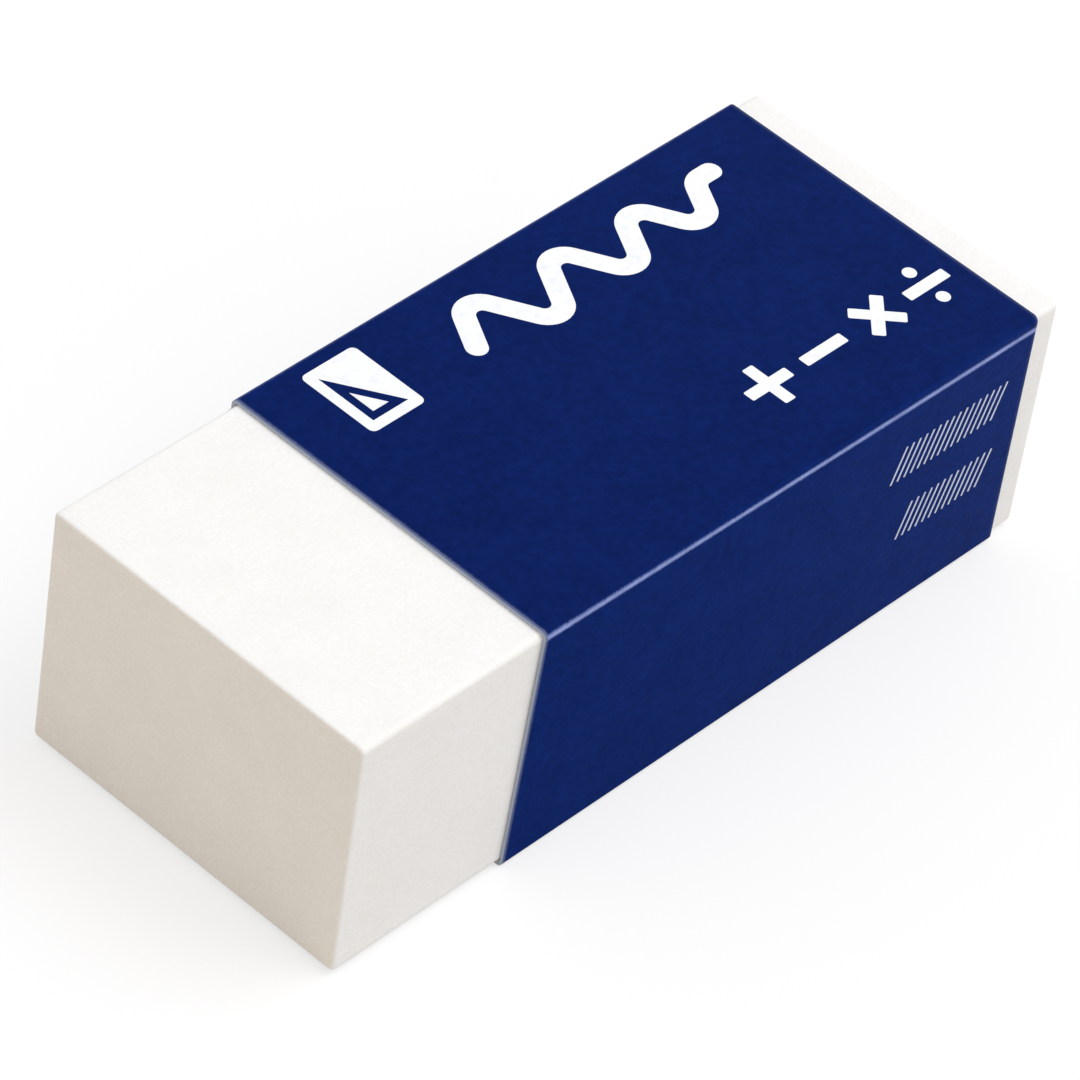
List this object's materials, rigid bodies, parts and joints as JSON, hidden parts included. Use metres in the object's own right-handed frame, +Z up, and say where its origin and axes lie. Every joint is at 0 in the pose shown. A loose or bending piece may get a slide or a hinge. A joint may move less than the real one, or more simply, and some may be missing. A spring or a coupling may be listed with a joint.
{
  "type": "block eraser",
  "caption": "Small white block eraser in a snug card sleeve that slides along it, with one end left bare for rubbing out pencil.",
  "frame": {"origin": "bottom centre of the whole, on the flat bottom panel of the sleeve, midway between the block's two cut ends", "axes": "+X along the block away from its bare working end, +Y towards the sleeve's glued seam, +Z up through the main printed panel"},
  "size_m": [0.043, 0.0184, 0.0133],
  "materials": {
    "rubber": "matte",
    "printed_card": "satin"
  },
  "bodies": {
    "block": {"rubber_block": "rubber"},
    "sleeve": {"card_sleeve": "printed_card"}
  },
  "joints": [
    {"name": "sleeve_slide", "type": "slide", "parent": "block", "child": "sleeve", "axis": [1, 0, 0], "range_m": [-0.042, 0.033]}
  ]
}
